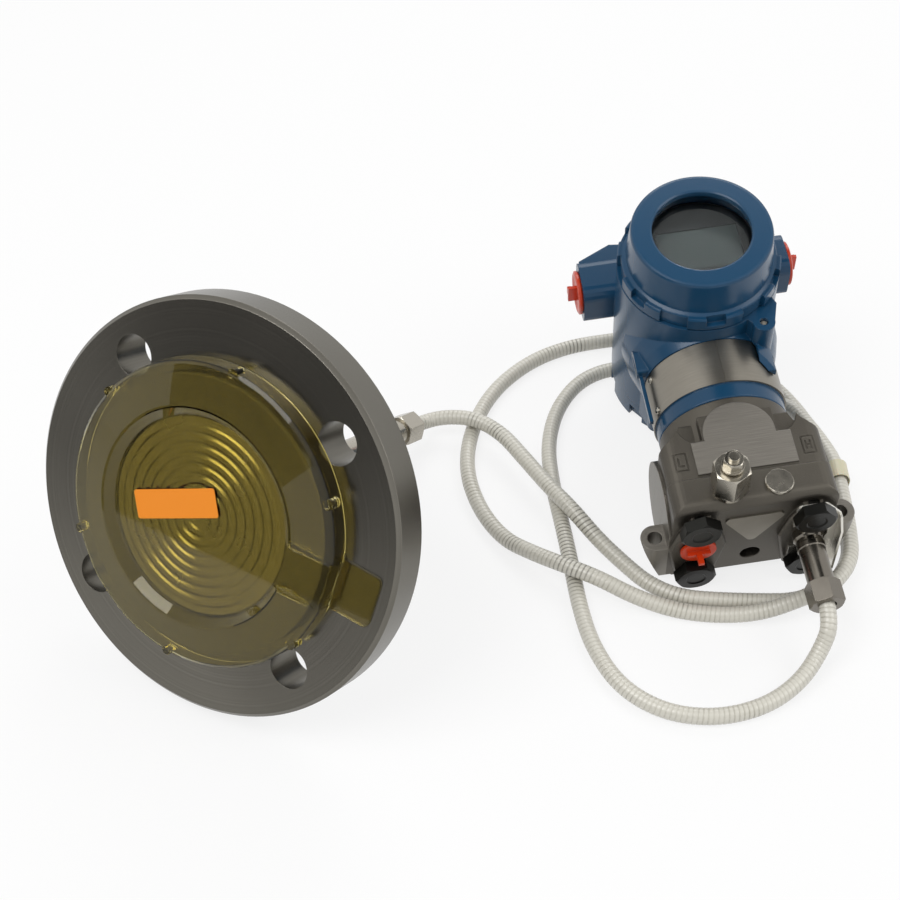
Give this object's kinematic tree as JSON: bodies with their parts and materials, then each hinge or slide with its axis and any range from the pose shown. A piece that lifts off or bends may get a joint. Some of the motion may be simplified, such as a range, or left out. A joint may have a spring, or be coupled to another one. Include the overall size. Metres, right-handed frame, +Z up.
{
  "type": "differential pressure transmitter",
  "caption": "Differential pressure transmitter with display and blue two-compartment housing, coplanar process flange and a remote flanged diaphragm seal on a coiled armoured capillary.",
  "frame": {"origin": "on the floor under the middle of the bounding box of the transmitter and seal, capillary left out", "axes": "+Z up, +Y away from the seal's and process flange's viewing side, +X from the seal to the transmitter"},
  "size_m": [0.3911, 0.2826, 0.1779],
  "materials": {
    "amber_sheet": "clear amber vacuum-formed sheet",
    "black_rubber": "o-ring rubber",
    "blue_paint": "blue polyurethane paint",
    "bright_steel": "machined stainless steel",
    "cast_steel": "bead-blasted stainless casting",
    "clear_glass": "clear glass",
    "dark_bolt": "black oxide steel",
    "dark_plastic": "black moulded plastic",
    "diaphragm_foil": "thin convoluted stainless foil",
    "grey_plastic": "dark grey moulded plastic",
    "lcd_film": "grey-green unlit display",
    "orange_label": "fluorescent orange paper label, blank",
    "orange_plastic": "orange polyethylene",
    "plate_steel": "brushed stainless sheet",
    "sheet_steel": "stamped stainless sheet",
    "tape": "cream tape",
    "turned_steel": "turned stainless steel",
    "white_sleeve": "white PVC over spiral armour"
  },
  "bodies": {
    "transmitter": {"adapter_nut": "bright_steel", "band_screws": "bright_steel", "capillary": "white_sleeve", "capillary_adapter": "bright_steel", "clip_plate": "sheet_steel", "cover_lock_screws": "bright_steel", "data_plate": "plate_steel", "diaphragm": "diaphragm_foil", "electronics_board": "dark_plastic", "flange_bolts": "dark_bolt", "housing": "blue_paint", "housing_set_screw": "bright_steel", "lcd_meter": "grey_plastic", "lcd_pane": "lcd_film", "module_orings": "black_rubber", "nameplate_band": "plate_steel", "process_flange": "cast_steel", "seal_flange": "turned_steel", "seal_nut": "bright_steel", "seal_stem": "turned_steel", "sensor_module": "cast_steel", "strand_tie": "tape", "terminal_block": "dark_plastic", "terminal_screws": "bright_steel", "vent_blank": "bright_steel", "vent_body": "bright_steel"},
    "display_travel": {"display_cover_oring": "black_rubber"},
    "display_turn": {"display_cover": "blue_paint", "cover_glass": "clear_glass"},
    "terminal_travel": {"terminal_cover_oring": "black_rubber"},
    "terminal_turn": {"terminal_cover": "blue_paint"},
    "vent_needle": {"vent_stem": "bright_steel"},
    "left_plug": {"conduit_plug_left": "orange_plastic"},
    "right_plug": {"conduit_plug_right": "orange_plastic"},
    "process_plug": {"port_plug": "orange_plastic"},
    "protector": {"diaphragm_protector": "amber_sheet", "part_label": "orange_label"}
  },
  "joints": [
    {"name": "display_cover_travel", "type": "slide", "parent": "transmitter", "child": "display_travel", "axis": [-0.0516, -0.2215, 0.9738], "range_m": [0, 0.0107]},
    {"name": "display_cover_turn", "type": "hinge", "parent": "display_travel", "child": "display_turn", "pos_m": [0.12003, 0.08034, 0.10159], "axis": [-0.0516, -0.2215, 0.9738], "range_deg": [0, 2520]},
    {"name": "terminal_cover_travel", "type": "slide", "parent": "transmitter", "child": "terminal_travel", "axis": [0.0516, 0.2215, -0.9738], "range_m": [0, 0.0107], "deforming": ["capillary"]},
    {"name": "terminal_cover_turn", "type": "hinge", "parent": "terminal_travel", "child": "terminal_turn", "pos_m": [0.12422, 0.09835, 0.02242], "axis": [0.0516, 0.2215, -0.9738], "range_deg": [0, 2520]},
    {"name": "vent_stem_turn", "type": "hinge", "parent": "transmitter", "child": "vent_needle", "pos_m": [0.12454, -0.04451, 0.08524], "axis": [-0.0516, -0.2215, 0.9738], "range_deg": [0, 360]},
    {"name": "left_plug_pull", "type": "slide", "parent": "transmitter", "child": "left_plug", "axis": [-0.9894, -0.1214, -0.0801], "range_m": [0, 0.02]},
    {"name": "right_plug_pull", "type": "slide", "parent": "transmitter", "child": "right_plug", "axis": [0.9894, 0.1214, 0.0801], "range_m": [0, 0.02]},
    {"name": "process_plug_pull", "type": "slide", "parent": "transmitter", "child": "process_plug", "axis": [0.136, -0.9676, -0.2129], "range_m": [0, 0.02]},
    {"name": "protector_lift", "type": "slide", "parent": "transmitter", "child": "protector", "axis": [-0.476, -0.7588, 0.4446], "range_m": [0, 0.03]}
  ],
  "couplings": [
    {"joint": "display_cover_travel", "follows": "display_cover_turn", "m_per_rad": 0.00023873},
    {"joint": "terminal_cover_travel", "follows": "terminal_cover_turn", "m_per_rad": 0.00023873}
  ]
}
